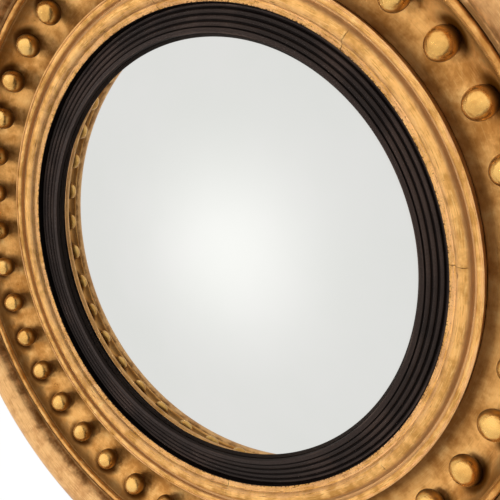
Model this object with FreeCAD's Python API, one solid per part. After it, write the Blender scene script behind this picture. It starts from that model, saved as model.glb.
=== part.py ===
import FreeCAD, Part
import math
import os

# Convex butler's mirror: a round gilt frame built up from rings, a hollow set with gilt balls,
# an ebonised reeded slip and a domed looking glass, hung on the wall by two D rings.
# Millimetres. +X to the right and +Z up as seen from the room, -Y out into the room.
# The flush back of the frame is the plane Y = 0 and the mirror's axis is the Y axis.
# A section is drawn in two numbers: radius from the axis, and distance out from the back.

# looking glass, which sets the size of everything round it
glass_radius = 186.0
glass_curve_radius = 650.0  # of the silvered face seen from the room
glass_thickness = 3.0
glass_edge_clearance = 0.6

# ebonised reeded slip
slip_lip_overlap = 6.0  # of the slip over the rim of the glass
slip_lip_width = 3.8
slip_lip_rise = 0.0  # of the lip's outer edge above the carcass
slip_lip_fall = 0.2  # how far the lip falls towards the glass
slip_lip_thickness = 3.65  # of its inner edge, which stands over the glass
lip_glass_gap = 0.25
reed_count = 4
reed_pitch = 4.5
reed_width = 4.1
reed_rise = 1.5
reed_crest_rise = 0.25  # above the carcass
last_reed_hidden = 2.1  # part of the last reed under the sight edge
slip_clearance = 0.3  # to the sight edge
slip_flange_width = 7.8
slip_rebate_clearance = 0.5
slip_flange_gap = 0.1
slip_depth = 10.0

# felt between the slip and the glass
felt_thickness = 0.8
felt_width = 4.2
felt_setback = 1.4  # from the slip's inner edge
seat_gap = 0.05

# built-up carcass behind the mouldings
rear_ring_thickness = 16.0
middle_ring_thickness = 12.0
plinth_setback = 1.6  # of the carcass behind the outer moulding's plinth
middle_ring_taper = 3.0
rear_ring_taper = 4.0
segments_per_ring = 8
rear_joint_angle = 0.0  # degrees, anticlockwise from +X seen from the room
glue_gap = 0.1  # between turned faces that are glued one inside the other

# inner gilt moulding
sight_edge_height = 5.0
sight_band_width = 4.4
sight_band_rise = 1.8
inner_torus_width = 10.7
inner_torus_crest = 12.2  # above the carcass
inner_torus_fall = 2.6  # from its crest to the quirk
quirk_width = 1.1
quirk_depth = 1.1
inner_bead_width = 3.5
inner_bead_crest = 13.6
inner_fillet_width = 1.5
inner_fillet_height = 14.5
inner_joint_angle = 10.4

# gilt hollow and its outer bead
hollow_radius = 36.0
hollow_floor = 5.0  # lowest line of the hollow above the carcass
hollow_centre_inset = 1.2  # from the hollow's inner edge to its lowest line
hollow_height = 27.0  # of the hollow's outer lip above its floor
hollow_lip_width = 0.9
outer_bead_radius = 2.2
outer_bead_height = 2.6  # centre of the bead above the hollow's lip

# gilt balls
ball_count = 39
ball_radius = 10.0
ball_sink = 2.6  # how far a ball sits into the face of the hollow
ball_slope = 43.6  # degrees, lean of the balls' line of seating from the frame's face
ball_first_angle = 5.6
ball_seat_gap = 0.2
spigot_radius = 2.5
spigot_length = 8.0  # beyond the ball
spigot_gap = 0.1

# outer moulding
outer_quirk_width = 2.6  # flat between the hollow's bead and the torus
outer_torus_radius = 15.7
outer_torus_height = 36.3  # centre of the torus above the carcass
outer_fillet_inset = 0.7
outer_fillet_step = 0.8
outer_cove_inset = 4.6
outer_cove_height = 16.0
outer_plinth_height = 11.0

# glazing blocks behind the glass
block_count = 8
block_length = 36.0
block_nose_overlap = 7.0  # reach of the nose over the rim of the glass
block_board_gap = 2.0
block_first_angle = 22.5

# backboard
backboard_thickness = 5.0
backboard_lap = 8.0  # over the rear ring
backboard_clearance = 0.5
backboard_screw_count = 8
backboard_screw_inset = 3.8  # from the board's edge

# strap hangers and their D rings
hanger_angle = 39.5
hanger_inset = 24.7  # of the ring's bar from the edge of the back
strap_width = 15.0
strap_thickness = 1.5
strap_length = 46.0
strap_screw_drops = (24.0, 38.0)  # below the ring's bar
strap_end_radius = 5.0
ring_wire_radius = 1.6
ring_half_width = 12.5
ring_corner_radius = 3.0
pivot_clearance = 0.08
knuckle_wood_gap = 0.12

# countersunk wood screws
small_head_radius = 3.2
small_slot_width = 0.8
backboard_shank_radius = 1.4
backboard_screw_bite = 9.0  # into the rear ring
hanger_shank_radius = 1.6
hanger_screw_bite = 10.5
carcass_head_radius = 4.5
carcass_slot_width = 1.2
carcass_shank_radius = 2.2
carcass_screw_bite = 10.0  # into the middle ring
screw_slot_share = 0.45  # depth of the slot as a share of the head's height
screw_point_length = 3.0
screw_hole_gap = 0.05
carcass_screw_spread = 8.0  # degrees each side of a rear segment's middle

# bumpers between the back and the wall
wall_gap = 7.0
bumper_radius = 9.0
bumper_face_radius = 7.5

# each screw: head radius, shank radius, length and slot width
backboard_screw = (
    small_head_radius,
    backboard_shank_radius,
    backboard_thickness + backboard_screw_bite,
    small_slot_width,
)
hanger_screw = (
    small_head_radius,
    hanger_shank_radius,
    strap_thickness + hanger_screw_bite,
    small_slot_width,
)
carcass_screw = (
    carcass_head_radius,
    carcass_shank_radius,
    rear_ring_thickness + carcass_screw_bite,
    carcass_slot_width,
)

# heights worked out from the sizes above, as distances from the back
rear_front = rear_ring_thickness
carcass_front = rear_front + middle_ring_thickness
slip_lip_front = carcass_front + slip_lip_rise
slip_back = carcass_front - slip_depth
reed_crest = carcass_front + reed_crest_rise
glass_lip_front = slip_lip_front - slip_lip_fall - slip_lip_thickness - lip_glass_gap
block_back = backboard_thickness + block_board_gap

# radii worked out from the glass outwards
slip_lip_radius = glass_radius - slip_lip_overlap
slip_lip_end = slip_lip_radius + slip_lip_width
slip_face_radius = slip_lip_end + reed_count * reed_pitch - last_reed_hidden
slip_flange_radius = slip_face_radius + slip_flange_width
rebate_radius = slip_flange_radius + slip_rebate_clearance
sight_radius = slip_face_radius + slip_clearance
inner_torus_start = sight_radius + sight_band_width
inner_torus_end = inner_torus_start + inner_torus_width
inner_bead_start = inner_torus_end + 2 * quirk_width
inner_bead_end = inner_bead_start + inner_bead_width
inner_moulding_radius = inner_bead_end + inner_fillet_width
hollow_inner_radius = inner_moulding_radius + glue_gap
hollow_centre = (
    hollow_inner_radius + hollow_centre_inset,
    carcass_front + hollow_floor + hollow_radius,
)
hollow_lip_out = carcass_front + hollow_floor + hollow_height
hollow_lip_radius = hollow_centre[0] + math.sqrt(
    hollow_radius**2 - (hollow_centre[1] - hollow_lip_out) ** 2
)
outer_bead_centre = (
    hollow_lip_radius + hollow_lip_width + outer_bead_radius,
    hollow_lip_out + outer_bead_height,
)
hollow_outer_radius = outer_bead_centre[0] + outer_bead_radius
outer_bore = hollow_outer_radius + glue_gap
outer_torus = (
    outer_bore + outer_quirk_width + outer_torus_radius,
    carcass_front + outer_torus_height,
)
outer_fillet_radius = outer_torus[0] + outer_torus_radius - outer_fillet_inset
plinth_radius = outer_fillet_radius - outer_cove_inset
middle_ring_front_radius = plinth_radius - plinth_setback
carcass_joint_radius = middle_ring_front_radius - middle_ring_taper
rear_ring_back_radius = carcass_joint_radius - rear_ring_taper
backboard_radius = rebate_radius + backboard_lap
board_recess_radius = backboard_radius + backboard_clearance
glass_centre_out = glass_lip_front - math.sqrt(glass_curve_radius**2 - slip_lip_radius**2)
back_middle_radius = (board_recess_radius + rear_ring_back_radius) / 2


def at(radius, out):
    """A point of a section: radius from the axis and distance out from the back."""
    return FreeCAD.Vector(radius, -out, 0)


class Section:
    """A closed section, drawn edge by edge from its first point."""

    def __init__(self, radius, out):
        self.start = (radius, out)
        self.here = (radius, out)
        self.edges = []

    def line(self, radius, out):
        if math.dist(self.here, (radius, out)) > 1e-6:
            self.edges.append(Part.LineSegment(at(*self.here), at(radius, out)).toShape())
            self.here = (radius, out)
        return self

    def arc(self, through, end):
        self.edges.append(Part.Arc(at(*self.here), at(*through), at(*end)).toShape())
        self.here = end
        return self

    def turn(self, centre, radius, first, last):
        """A round stretch about a centre, from one direction to another, in degrees."""
        middle = (first + last) / 2
        return self.line(*polar(centre, radius, first)).arc(
            polar(centre, radius, middle), polar(centre, radius, last)
        )

    def face(self):
        self.line(*self.start)
        return Part.Face(Part.Wire(self.edges))


def polar(centre, radius, degrees):
    turn = math.radians(degrees)
    return (centre[0] + radius * math.cos(turn), centre[1] + radius * math.sin(turn))


def around(shape, degrees):
    """A shape turned about the mirror's axis, anticlockwise as seen from the room."""
    turned = shape.copy()
    turned.rotate(FreeCAD.Vector(0, 0, 0), FreeCAD.Vector(0, -1, 0), degrees)
    return turned


def turned_ring(section, start=0.0, sweep=360.0):
    ring = section.face().revolve(FreeCAD.Vector(0, 0, 0), FreeCAD.Vector(0, -1, 0), sweep)
    return around(ring, start)


def segments(section, first_joint):
    """A ring glued up from equal segments, with radial joints."""
    sweep = 360.0 / segments_per_ring
    return [turned_ring(section, first_joint + k * sweep, sweep) for k in range(segments_per_ring)]


def place(radius, degrees, out):
    """A point at an angle round the mirror and a distance out from the back."""
    turn = math.radians(degrees)
    return FreeCAD.Vector(radius * math.cos(turn), -out, radius * math.sin(turn))


def glass_front(radius):
    """Distance from the back of the domed face at a radius."""
    return glass_centre_out + math.sqrt(glass_curve_radius**2 - radius**2)


def glass_back(radius):
    inner = glass_curve_radius - glass_thickness
    return glass_centre_out + math.sqrt(inner**2 - radius**2)


def head_height(screw):
    """A countersunk head falls at 45 degrees from its rim to the shank."""
    return screw[0] - screw[1]


def screw_body(screw, gap=0.0):
    """A countersunk wood screw along -Y, head at the origin, or the hole that it needs."""
    head, shank, length, _ = screw
    neck = head_height(screw)
    profile = [
        (0, 0),
        (head + gap, 0),
        (shank + gap, neck),
        (shank + gap, length - screw_point_length),
        (0, length + gap),
    ]
    points = [FreeCAD.Vector(r, -out, 0) for r, out in profile]
    outline = Part.makePolygon(points + points[:1])
    return Part.Face(outline).revolve(FreeCAD.Vector(0, 0, 0), FreeCAD.Vector(0, 1, 0), 360)


def slotted_screw(screw, position):
    head, _, _, slot = screw
    depth = head_height(screw) * screw_slot_share
    corner = FreeCAD.Vector(-head - 1, -depth, -slot / 2)
    cutter = Part.makeBox(2 * head + 2, depth + 1, slot, corner)
    made = screw_body(screw).cut(cutter)
    made.translate(position)
    return made


def screw_hole(screw, position):
    hole = screw_body(screw, screw_hole_gap)
    hole.translate(position)
    return hole


def carcass_screw_places():
    half = 180.0 / segments_per_ring
    places = []
    for k in range(segments_per_ring):
        middle = rear_joint_angle + (2 * k + 1) * half
        for side in (-1, 1):
            angle = middle + side * carcass_screw_spread
            places.append(place(back_middle_radius, angle, 0))
    return places


def backboard_screw_places():
    circle = backboard_radius - backboard_screw_inset
    step = 360.0 / backboard_screw_count
    first = rear_joint_angle + step / 2
    return [place(circle, first + k * step, 0) for k in range(backboard_screw_count)]


def pivot(side):
    """Centre of a D ring's bar, behind the frame."""
    spot = place(rear_ring_back_radius - hanger_inset, hanger_angle, 0)
    behind = knuckle_wood_gap + strap_thickness + pivot_clearance + ring_wire_radius
    return FreeCAD.Vector(side * spot.x, behind, spot.z)


def hanger_screw_places():
    places = []
    for side in (-1, 1):
        bar = pivot(side)
        for drop in strap_screw_drops:
            places.append(FreeCAD.Vector(bar.x, strap_thickness, bar.z - drop))
    return places


def drilled(solids, holes):
    """Each solid with the holes that reach it cut away."""
    made = []
    for solid in solids:
        near = [hole for hole in holes if hole.BoundBox.intersect(solid.BoundBox)]
        made.append(solid.cut(near) if near else solid)
    return made


def rear_ring():
    section = Section(rebate_radius, rear_front)
    section.line(carcass_joint_radius, rear_front)
    section.line(rear_ring_back_radius, 0)
    section.line(board_recess_radius, 0)
    section.line(board_recess_radius, backboard_thickness)
    section.line(rebate_radius, backboard_thickness)
    holes = [screw_hole(carcass_screw, spot) for spot in carcass_screw_places()]
    holes += [screw_hole(backboard_screw, spot) for spot in backboard_screw_places()]
    holes += [screw_hole(hanger_screw, spot) for spot in hanger_screw_places()]
    return drilled(segments(section, rear_joint_angle), holes)


def middle_ring():
    section = Section(rebate_radius, rear_front)
    section.line(rebate_radius, carcass_front)
    section.line(middle_ring_front_radius, carcass_front)
    section.line(carcass_joint_radius, rear_front)
    stagger = 180.0 / segments_per_ring
    holes = [screw_hole(carcass_screw, spot) for spot in carcass_screw_places()]
    return drilled(segments(section, rear_joint_angle + stagger), holes)


def inner_moulding():
    """Sight edge, sloped band, torus, quirk, bead and fillet, from the glass outwards."""
    base = carcass_front
    band_top = base + sight_edge_height + sight_band_rise
    quirk_top = base + inner_torus_crest - inner_torus_fall
    section = Section(sight_radius, base)
    section.line(sight_radius, base + sight_edge_height)
    section.line(inner_torus_start, band_top)
    torus_top = (inner_torus_start + 0.58 * inner_torus_width, base + inner_torus_crest)
    section.arc(torus_top, (inner_torus_end, quirk_top))
    section.line(inner_torus_end + quirk_width, quirk_top - quirk_depth)
    section.line(inner_bead_start, quirk_top)
    bead_top = (inner_bead_start + 0.55 * inner_bead_width, base + inner_bead_crest)
    section.arc(bead_top, (inner_bead_end, base + inner_bead_crest))
    section.line(inner_bead_end, base + inner_fillet_height)
    section.line(inner_moulding_radius, base + inner_fillet_height)
    section.line(inner_moulding_radius, base)
    return segments(section, inner_joint_angle)


def ball_centre():
    reach = hollow_radius - ball_radius + ball_sink
    return polar(hollow_centre, reach, -ball_slope)


def ball_with_spigot(ball, spigot, length):
    """A turned ball and its spigot, lying in the section at angle 0."""
    middle = at(*ball_centre())
    lean = math.radians(ball_slope)
    inward = FreeCAD.Vector(math.cos(lean), math.sin(lean), 0)
    pin = Part.makeCylinder(spigot, ball_radius + length, middle, inward)
    return Part.makeSphere(ball, middle, inward).fuse(pin).removeSplitter()


def ball_angles():
    step = 360.0 / ball_count
    return [ball_first_angle + k * step for k in range(ball_count)]


def gilt_balls():
    ball = ball_with_spigot(ball_radius, spigot_radius, spigot_length)
    return [around(ball, angle) for angle in ball_angles()]


def hollow_ring():
    """The wide gilt hollow, its outer bead and a seat for each ball."""
    first = -90.0 - math.degrees(math.asin(hollow_centre_inset / hollow_radius))
    last = -math.degrees(math.asin((hollow_centre[1] - hollow_lip_out) / hollow_radius))
    section = Section(hollow_inner_radius, carcass_front)
    section.turn(hollow_centre, hollow_radius, first, last)
    section.line(outer_bead_centre[0] - outer_bead_radius, hollow_lip_out)
    section.turn(outer_bead_centre, outer_bead_radius, 180.0, 0.0)
    section.line(hollow_outer_radius, carcass_front)
    ring = turned_ring(section)
    seat = ball_with_spigot(
        ball_radius + ball_seat_gap, spigot_radius + spigot_gap, spigot_length + spigot_gap
    )
    return [ring.cut([around(seat, angle) for angle in ball_angles()])]


def outer_moulding():
    """A narrow quirk and the bold outer torus, with a band, a cove and a plinth under it."""
    reach = (outer_fillet_radius - outer_torus[0]) / outer_torus_radius
    torus_top = (outer_torus[0], outer_torus[1] + outer_torus_radius)
    torus_foot = polar(outer_torus, outer_torus_radius, -math.degrees(math.acos(reach)))
    plinth_top = carcass_front + outer_plinth_height
    cove_top = plinth_top + outer_cove_height
    belly = (plinth_radius + 0.25 * outer_cove_inset, plinth_top + 0.62 * outer_cove_height)
    section = Section(outer_bore, carcass_front)
    section.line(outer_bore, outer_torus[1])
    section.line(outer_bore + outer_quirk_width, outer_torus[1])
    section.arc(torus_top, torus_foot)
    section.line(outer_fillet_radius, cove_top)
    section.line(outer_fillet_radius - outer_fillet_step, cove_top)
    section.arc(belly, (plinth_radius, plinth_top))
    section.line(plinth_radius, carcass_front)
    return [turned_ring(section)]


def reed_height(radius, start):
    """Distance from the back of a reed's rounded face, at a radius of the slip."""
    bend = ((reed_width / 2) ** 2 + reed_rise**2) / (2 * reed_rise)
    away = radius - start - reed_width / 2
    return reed_crest - bend + math.sqrt(bend**2 - away**2)


def reeded_slip():
    """The ebonised slip: plain lip against the glass, then fine reeds up to the sight edge."""
    valley = reed_crest - reed_rise
    flange_front = carcass_front - slip_flange_gap
    section = Section(slip_lip_radius, glass_front(slip_lip_radius) + lip_glass_gap)
    section.line(slip_lip_radius, slip_lip_front - slip_lip_fall)
    section.line(slip_lip_end, slip_lip_front)
    for k in range(reed_count):
        start = slip_lip_end + reed_pitch - reed_width + k * reed_pitch
        end = min(start + reed_width, slip_face_radius)
        section.line(start, valley)
        middle = (start + end) / 2
        section.arc((middle, reed_height(middle, start)), (end, reed_height(end, start)))
    section.line(slip_face_radius, flange_front)
    section.line(slip_flange_radius, flange_front)
    section.line(slip_flange_radius, slip_back)
    edge = glass_radius + glass_edge_clearance
    section.line(edge, slip_back)
    section.line(edge, glass_front(edge) + felt_thickness)
    felt_start = slip_lip_radius + felt_setback
    section.line(felt_start, glass_front(felt_start) + felt_thickness)
    section.line(felt_start, glass_front(felt_start) + lip_glass_gap)
    return [turned_ring(section)]


def felt_strip():
    """Thin felt between the slip and the face of the glass."""
    first = slip_lip_radius + felt_setback + seat_gap
    last = first + felt_width
    section = Section(first, glass_front(first) + seat_gap)
    section.line(first, glass_front(first) + felt_thickness - seat_gap)
    section.line(last, glass_front(last) + felt_thickness - seat_gap)
    section.line(last, glass_front(last) + seat_gap)
    return [turned_ring(section)]


def convex_glass():
    front_centre = (0.0, glass_front(0.0) - glass_curve_radius)
    edge = math.degrees(math.acos(glass_radius / glass_curve_radius))
    back_radius = glass_curve_radius - glass_thickness
    back_edge = math.degrees(math.acos(glass_radius / back_radius))
    section = Section(0.0, glass_back(0.0))
    section.turn(front_centre, glass_curve_radius, 90.0, edge)
    section.line(glass_radius, glass_back(glass_radius))
    section.turn(front_centre, back_radius, back_edge, 90.0)
    return [turned_ring(section)]


def glazing_blocks():
    """Small softwood blocks glued round the rebate, each with a nose on the rim of the glass."""
    half = block_length / 2
    outer = math.sqrt((rebate_radius - glue_gap) ** 2 - half**2)
    nose = glass_radius - block_nose_overlap
    step = math.sqrt((glass_radius + glass_edge_clearance - glue_gap) ** 2 - half**2)
    nose_front = glass_back(glass_radius) - seat_gap
    profile = [
        (nose, block_back),
        (nose, nose_front),
        (step, nose_front),
        (step, slip_back - seat_gap),
        (outer, slip_back - seat_gap),
        (outer, block_back),
    ]
    points = [FreeCAD.Vector(r, -out, -half) for r, out in profile]
    face = Part.Face(Part.makePolygon(points + points[:1]))
    block = face.extrude(FreeCAD.Vector(0, 0, block_length))
    turn = 360.0 / block_count
    return [around(block, block_first_angle + k * turn) for k in range(block_count)]


def backboard():
    outward = FreeCAD.Vector(0, -1, 0)
    middle = FreeCAD.Vector(0, 0, 0)
    disc = Part.makeCylinder(backboard_radius, backboard_thickness, middle, outward)
    return [disc.cut([screw_hole(backboard_screw, spot) for spot in backboard_screw_places()])]


def hanger_strap(side):
    """A brass strap that lies on the rear ring and curls round the bar of the D ring."""
    bar = pivot(side)
    foot = FreeCAD.Vector(bar.x - strap_width / 2, 0, bar.z - strap_length)
    plate = Part.makeBox(strap_width, strap_thickness, strap_length, foot)
    corners = [
        edge
        for edge in plate.Edges
        if edge.BoundBox.ZMax < foot.z + 0.01 and edge.BoundBox.YLength > 0.5 * strap_thickness
    ]
    plate = plate.makeFillet(strap_end_radius, corners)
    along = FreeCAD.Vector(1, 0, 0)
    start = bar - along * (strap_width / 2)
    hole_radius = ring_wire_radius + pivot_clearance
    knuckle = Part.makeCylinder(hole_radius + strap_thickness, strap_width, start, along)
    hole = Part.makeCylinder(hole_radius, strap_width + 2, start - along, along)
    holes = [screw_hole(hanger_screw, spot) for spot in hanger_screw_places()]
    return [plate.fuse(knuckle).cut([hole] + holes).removeSplitter()]


def hanger_ring(side):
    """A wire D ring, hanging from its straight bar: two round corners and a half circle."""
    middle = pivot(side)
    straight = ring_half_width - ring_corner_radius
    across = FreeCAD.Vector(0, 1, 0)
    start = middle + FreeCAD.Vector(-straight, 0, 0)
    bar = Part.makeCylinder(ring_wire_radius, 2 * straight, start, FreeCAD.Vector(1, 0, 0))
    pieces = [bar]
    for end in (-1, 1):
        centre = middle + FreeCAD.Vector(end * straight, 0, -ring_corner_radius)
        cut = wire_disc(centre + FreeCAD.Vector(0, 0, ring_corner_radius), FreeCAD.Vector(1, 0, 0))
        pieces.append(cut.revolve(centre, across * end, 90))
    low = middle + FreeCAD.Vector(0, 0, -ring_corner_radius)
    cut = wire_disc(low + FreeCAD.Vector(ring_half_width, 0, 0), FreeCAD.Vector(0, 0, 1))
    pieces.append(cut.revolve(low, across, 180))
    return [pieces[0].fuse(pieces[1:]).removeSplitter()]


def wire_disc(centre, normal):
    return Part.Face(Part.Wire(Part.makeCircle(ring_wire_radius, centre, normal)))


def wall_bumpers():
    """Rubber buttons low on the back that stand against the wall."""
    to_wall = FreeCAD.Vector(0, 1, 0)
    spread = 180.0 / segments_per_ring
    places = [place(back_middle_radius, -90 + side * spread, 0) for side in (-1, 1)]
    return [
        Part.makeCone(bumper_radius, bumper_face_radius, wall_gap, spot, to_wall)
        for spot in places
    ]


def screws(screw, spots):
    return [slotted_screw(screw, spot) for spot in spots]


nodes = {
    "rear_ring_segments": rear_ring(),
    "middle_ring_segments": middle_ring(),
    "inner_moulding_segments": inner_moulding(),
    "gilt_hollow": hollow_ring(),
    "gilt_balls": gilt_balls(),
    "outer_moulding": outer_moulding(),
    "reeded_slip": reeded_slip(),
    "felt_strip": felt_strip(),
    "convex_glass": convex_glass(),
    "glazing_blocks": glazing_blocks(),
    "backboard": backboard(),
    "backboard_screws": screws(backboard_screw, backboard_screw_places()),
    "carcass_screws": screws(carcass_screw, carcass_screw_places()),
    "left_hanger_strap": hanger_strap(-1),
    "right_hanger_strap": hanger_strap(1),
    "left_hanger_ring": hanger_ring(-1),
    "right_hanger_ring": hanger_ring(1),
    "hanger_screws": screws(hanger_screw, hanger_screw_places()),
    "wall_bumpers": wall_bumpers(),
}

os.makedirs("parts", exist_ok=True)
for name, solids in nodes.items():
    shape = solids[0] if len(solids) == 1 else Part.makeCompound(solids)
    shape.exportStep(f"parts/{name}.step")
    print(name, len(shape.Solids), "solids", round(shape.Volume / 1000, 1), "cm3", shape.isValid())
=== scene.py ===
import math

import bpy
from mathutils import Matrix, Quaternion, Vector


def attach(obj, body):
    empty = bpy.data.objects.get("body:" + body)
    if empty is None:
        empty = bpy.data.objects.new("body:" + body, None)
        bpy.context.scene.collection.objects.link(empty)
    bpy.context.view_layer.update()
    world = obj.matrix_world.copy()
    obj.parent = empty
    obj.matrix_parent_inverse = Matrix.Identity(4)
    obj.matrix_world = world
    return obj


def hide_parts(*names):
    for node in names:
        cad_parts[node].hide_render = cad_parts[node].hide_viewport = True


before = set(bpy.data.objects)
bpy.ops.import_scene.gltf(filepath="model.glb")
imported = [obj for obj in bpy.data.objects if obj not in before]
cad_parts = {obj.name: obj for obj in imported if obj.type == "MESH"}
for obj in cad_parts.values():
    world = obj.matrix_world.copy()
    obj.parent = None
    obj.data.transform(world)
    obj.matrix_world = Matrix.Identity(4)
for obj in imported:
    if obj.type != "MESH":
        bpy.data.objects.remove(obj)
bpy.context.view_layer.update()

mm = 0.001
print("frame loaded")


# ---- node building, shared by materials and geometry trees

class Strand:  # one value, colour or vector on its way through a node tree
    def __init__(self, bench, socket):
        self.bench = bench
        self.socket = socket

    def also(self, out):  # another output of the same node
        return Strand(self.bench, self.socket.node.outputs[out])

    def math(self, operation, *others, clamp=False):
        settings = {"operation": operation, "use_clamp": clamp}
        return self.bench.node("ShaderNodeMath", settings, dict(enumerate((self, *others))))

    def __add__(self, other):
        return self.math("ADD", other)

    def __sub__(self, other):
        return self.math("SUBTRACT", other)

    def __rsub__(self, other):
        return self.bench.node("ShaderNodeMath", {"operation": "SUBTRACT"}, {0: other, 1: self})

    def __mul__(self, other):
        return self.math("MULTIPLY", other)

    def __truediv__(self, other):
        return self.math("DIVIDE", other)

    __radd__ = __add__

    def least(self, other):
        return self.math("MINIMUM", other)

    def most(self, other):
        return self.math("MAXIMUM", other)

    def clamped(self):
        return self.math("ADD", 0.0, clamp=True)

    def ramp(self, low, high):  # eases from 0 at low to 1 at high, or back where high is below low
        values = {"Value": self, "From Min": low, "From Max": high}
        return self.bench.node("ShaderNodeMapRange", {"interpolation_type": "SMOOTHSTEP"}, values)


class Bench:  # a node tree with short calls for making and joining its nodes
    def __init__(self, tree):
        self.tree = tree

    def node(self, kind, settings=None, values=None, out=0):
        made = self.tree.nodes.new(kind)
        for key, value in (settings or {}).items():
            setattr(made, key, value)
        for key, value in (values or {}).items():
            if isinstance(value, Strand):
                self.tree.links.new(value.socket, made.inputs[key])
            else:
                made.inputs[key].default_value = value
        return Strand(self, made.outputs[out])

    def vector(self, operation, *inputs, **named):
        out = 1 if operation == "DOT_PRODUCT" else 0
        values = dict(enumerate(inputs)) | named
        return self.node("ShaderNodeVectorMath", {"operation": operation}, values, out)

    def combine(self, x, y, z):
        return self.node("ShaderNodeCombineXYZ", {}, {0: x, 1: y, 2: z})


def paint(red, green, blue):  # a colour as a colour chart gives it
    def plain(level):
        level /= 255
        return level / 12.92 if level < 0.04045 else ((level + 0.055) / 1.055) ** 2.4
    return (plain(red), plain(green), plain(blue), 1.0)


streakRadius = 0.25  # m, about the middle of the frame's face


class Finish(Bench):  # a material, with the places and patterns that it is made from
    def __init__(self, name):
        self.material = bpy.data.materials.new(name)
        self.material.use_nodes = True
        super().__init__(self.material.node_tree)
        self.shader = self.tree.nodes["Principled BSDF"]
        self.place = self.node("ShaderNodeTexCoord", out="Object")
        split = self.node("ShaderNodeSeparateXYZ", {}, {0: self.place}, "X")
        self.x, self.y, self.z = split, split.also("Y"), split.also("Z")
        self.out = 0 - self.y  # distance out from the back
        self.radius = (self.x * self.x + self.z * self.z).math("SQRT")
        self.reach = self.radius / mm
        self.angle = self.z.math("ARCTAN2", self.x)

    def wear(self, name):
        return self.node("ShaderNodeAttribute", {"attribute_name": name}, out="Fac")

    def nearest(self, count, first):  # angle from the nearest of some places evenly round the axis
        step = math.tau / count
        turn = (self.angle - math.radians(first)) / step + 0.5
        return (turn - turn.math("FLOOR") - 0.5) * step

    def noise(self, place, scale, detail, rough, depth):  # from 0 to 1, about 0.5
        values = {"Vector": place, "W": depth, "Scale": scale, "Detail": detail, "Roughness": rough}
        return self.node("ShaderNodeTexNoise", {"noise_dimensions": "4D"}, values)

    def streaks(self, along, across, detail, shift):  # marks round the axis, their length and width in m
        bend = streakRadius / along
        cosine, sine = self.angle.math("COSINE"), self.angle.math("SINE")
        place = self.combine(cosine * bend, sine * bend, self.radius / across + shift)
        return self.noise(place, scale=1.0, detail=detail, rough=0.55, depth=self.out / across)

    def mix(self, amount, first, second):
        values = {0: amount, 6: first, 7: second}
        settings = {"data_type": "RGBA", "clamp_factor": True}
        return self.node("ShaderNodeMix", settings, values, 2)

    def bump(self, height, depth):
        return self.node("ShaderNodeBump", {}, {"Height": height, "Distance": depth})

    def finish(self, **sockets):
        for key, value in sockets.items():
            socket = self.shader.inputs[key.replace("_", " ")]
            if isinstance(value, Strand):
                self.tree.links.new(value.socket, socket)
            else:
                socket.default_value = value
        return self.material


def dress(node, material):
    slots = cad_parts[node].data.materials
    if not slots:
        slots.append(material)
    for k in range(len(slots)):
        slots[k] = material


# ---- sections of the turned pieces: mm from the axis, and mm out from the flush back

leastRun = 1e-6  # mm, under which a run of a section is left out
usualStep = 1.2  # mm between an outline's points
leastSteps = 6  # in an arc
mostEased = 0.4  # share of a run that its corners may take


class Section:  # an outline drawn run by run
    def __init__(self, radius, out):
        self.runs = []
        self.here = (radius, out)

    def line(self, radius, out):
        return self.add([self.here, (radius, out)])

    def add(self, points):
        if math.dist(points[0], points[-1]) > leastRun:
            self.runs.append(points)
            self.here = points[-1]
        return self

    def arc(self, via, end, step=usualStep):  # the circle through three points
        (ax, ay), (bx, by), (cx, cy) = self.here, via, end
        a, b, c = (px * px + py * py for px, py in (self.here, via, end))
        double = 2 * (ax * (by - cy) + bx * (cy - ay) + cx * (ay - by))
        ux = (a * (by - cy) + b * (cy - ay) + c * (ay - by)) / double
        uy = (a * (cx - bx) + b * (ax - cx) + c * (bx - ax)) / double
        size = math.dist((ux, uy), self.here)
        start = math.atan2(ay - uy, ax - ux)
        middle = (math.atan2(by - uy, bx - ux) - start) % math.tau
        sweep = (math.atan2(cy - uy, cx - ux) - start) % math.tau
        if middle > sweep:
            sweep -= math.tau
        count = max(leastSteps, math.ceil(abs(sweep) * size / step))
        turns = [start + sweep * k / count for k in range(count + 1)]
        points = [(ux + size * math.cos(t), uy + size * math.sin(t)) for t in turns]
        return self.add([self.here, *points[1:-1], end])

    def turn(self, centre, size, first, last):  # degrees about a centre
        first, last = math.radians(first), math.radians(last)
        ends = [spoke(centre, size, t) for t in (first, (first + last) / 2, last)]
        return self.line(*ends[0]).arc(ends[1], ends[2])

    def closed(self, start, soft, step=usualStep):  # the whole outline with its corners eased
        self.line(*start)
        outline = []
        for k, run in enumerate(self.runs):
            before, after = self.runs[k - 1][-2], run[1]
            outline += easeCorner(before, run[0], after, soft)
            for first, second in zip(run, run[1:]):
                count = max(1, math.ceil(math.dist(first, second) / step))
                outline += [between(first, second, j / count) for j in range(1, count)]
                outline.append(second)
            outline.pop()
        return outline


def between(first, second, share):
    return tuple(a + (b - a) * share for a, b in zip(first, second))


def spoke(centre, size, turn):
    return (centre[0] + size * math.cos(turn), centre[1] + size * math.sin(turn))


def easeCorner(before, corner, after, soft):
    into, away = math.dist(before, corner), math.dist(corner, after)
    first = between(corner, before, min(soft / into, mostEased))
    last = between(corner, after, min(soft / away, mostEased))
    middle = between(between(first, last, 0.5), corner, 0.5)
    return [first, middle, last]


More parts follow.
